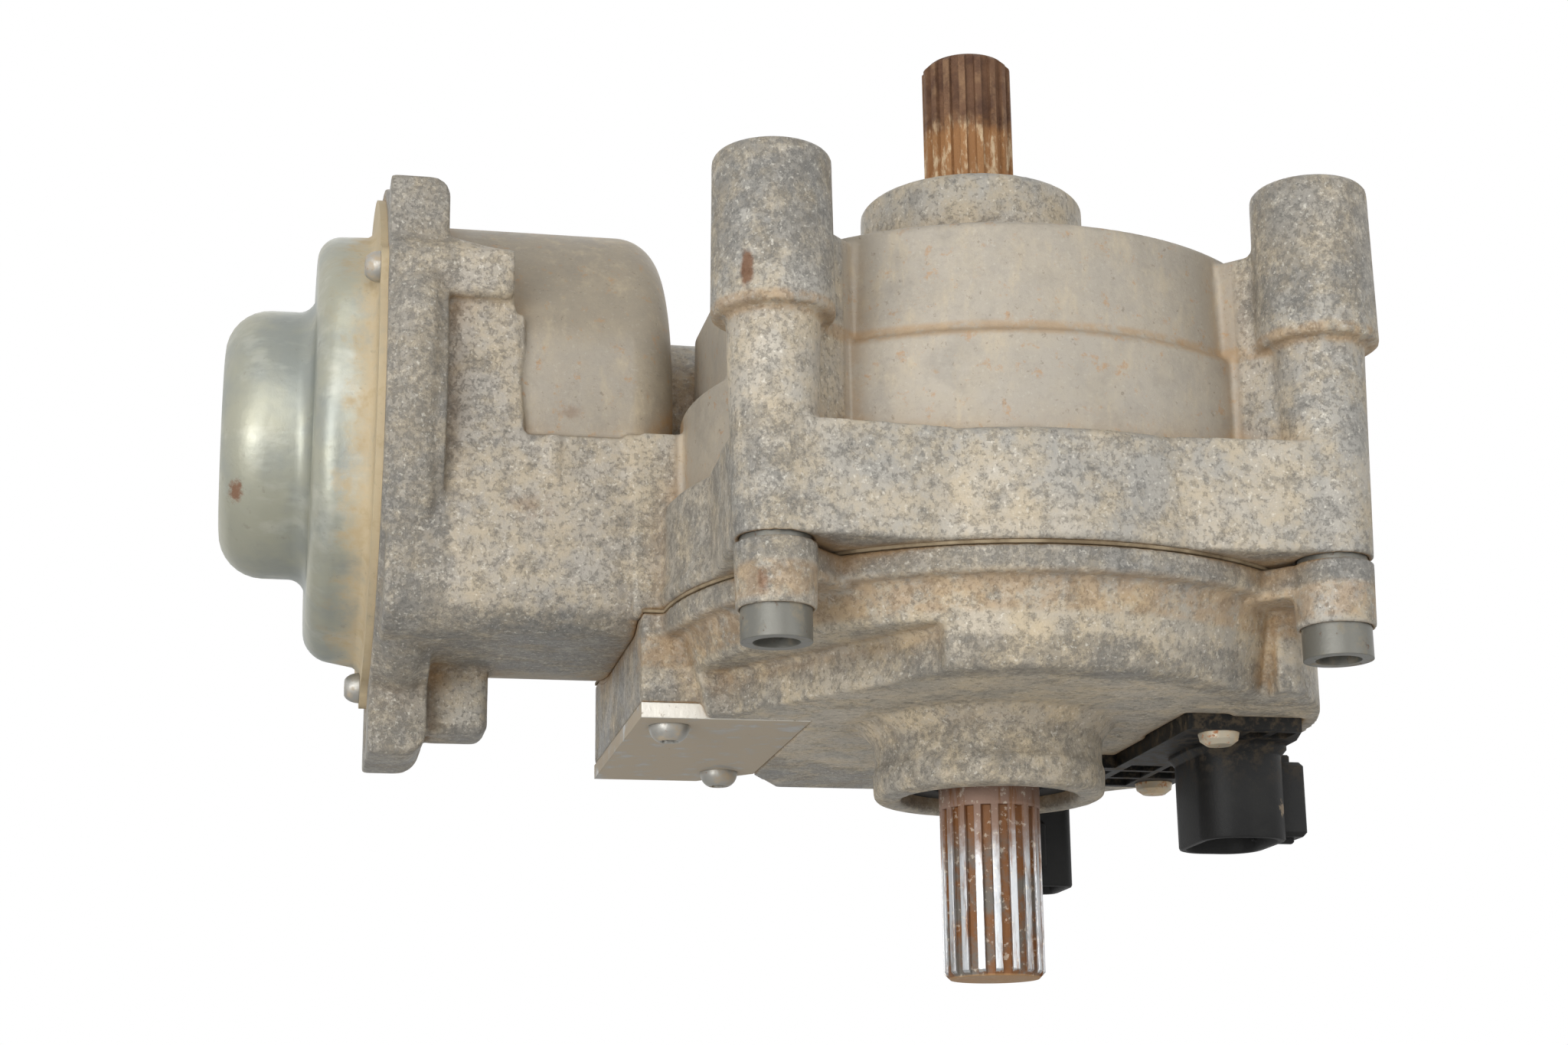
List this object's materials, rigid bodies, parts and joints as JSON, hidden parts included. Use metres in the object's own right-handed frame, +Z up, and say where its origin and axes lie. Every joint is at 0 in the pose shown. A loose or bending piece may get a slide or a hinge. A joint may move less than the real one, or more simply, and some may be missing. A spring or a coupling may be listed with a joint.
{
  "type": "electric power steering unit",
  "caption": "Steering assist unit: upright input and output shafts in a round casting, a worm motor behind it, mounting posts and two connectors underneath.",
  "frame": {"origin": "centre of the lower (output) shaft's end face", "axes": "+Z up the steering shaft towards the input spline, +X away from the motor's end cover, +Y to the rear, where the motor and worm lie"},
  "size_m": [0.2205, 0.1745, 0.1928],
  "materials": {
    "cast_aluminium": "as cast, weathered",
    "zinc_steel": "zinc plated, dull",
    "mount_steel": "plated tube",
    "fastener_steel": "plated, slight rust",
    "rusted_steel": "brown rust",
    "shaft_steel": "machined",
    "bearing_steel": "ground",
    "seal_rubber": "matt",
    "gear_polymer": "moulded",
    "core_steel": "laminated",
    "copper": "enamelled or bare",
    "magnet": "coated",
    "black_plastic": "moulded",
    "board_green": "coated",
    "component_black": "moulded",
    "terminal_tin": "tinned"
  },
  "bodies": {
    "housing": {"board_components": "component_black", "board_screws": "fastener_steel", "board_terminals": "copper", "case_bolts": "fastener_steel", "case_gasket": "seal_rubber", "connector_base": "black_plastic", "control_board": "board_green", "input_bearing_balls": "bearing_steel", "input_bearing_outer": "bearing_steel", "lower_bearing_balls": "bearing_steel", "lower_bearing_clip": "fastener_steel", "lower_bearing_outer": "bearing_steel", "lower_cover": "cast_aluminium", "lower_seal": "seal_rubber", "main_housing": "cast_aluminium", "module_screws": "fastener_steel", "motor_bearing_balls": "bearing_steel", "motor_bearing_outer": "bearing_steel", "motor_end_cover": "zinc_steel", "motor_end_shield": "cast_aluminium", "mount_sleeves": "mount_steel", "pan_screws": "fastener_steel", "phase_bars": "copper", "plate_screws": "fastener_steel", "power_socket": "black_plastic", "power_terminals": "terminal_tin", "resolver_stator": "copper", "sensor_coils": "copper", "signal_socket": "black_plastic", "signal_terminals": "terminal_tin", "stator_core": "core_steel", "stator_windings": "copper", "terminal_block": "black_plastic", "underside_plate": "zinc_steel", "upper_bearing_balls": "bearing_steel", "upper_bearing_outer": "bearing_steel", "upper_seal": "seal_rubber", "worm_bearing_balls": "bearing_steel", "worm_bearing_outer": "bearing_steel", "worm_tail_bearing_balls": "bearing_steel", "worm_tail_bearing_outer": "bearing_steel"},
    "output": {"output_shaft": "shaft_steel", "wheel_hub": "shaft_steel", "wheel_rim": "gear_polymer", "lower_bearing_inner": "bearing_steel", "upper_bearing_inner": "bearing_steel", "sensor_ring_output": "core_steel"},
    "input": {"input_shaft": "rusted_steel", "torsion_bar": "shaft_steel", "torsion_bar_pin": "shaft_steel", "input_bearing_inner": "bearing_steel", "sensor_ring_input": "core_steel"},
    "worm": {"worm_shaft": "shaft_steel", "rotor_core": "core_steel", "rotor_magnets": "magnet", "resolver_rotor": "core_steel", "worm_bearing_inner": "bearing_steel", "worm_tail_bearing_inner": "bearing_steel", "motor_bearing_inner": "bearing_steel"}
  },
  "joints": [
    {"name": "output_turn", "type": "hinge", "parent": "housing", "child": "output", "pos_m": [0, 0, 0.05], "axis": [0, 0, 1], "continuous": true},
    {"name": "input_twist", "type": "hinge", "parent": "output", "child": "input", "pos_m": [0, 0, 0.15], "axis": [0, 0, 1], "range_deg": [-4.5, 4.5], "stiffness_Nm_per_rad": 130},
    {"name": "worm_spin", "type": "hinge", "parent": "housing", "child": "worm", "pos_m": [0, 0.05, 0.117], "axis": [1, 0, 0], "continuous": true}
  ],
  "couplings": [
    {"joint": "worm_spin", "follows": "output_turn", "ratio": 21}
  ]
}
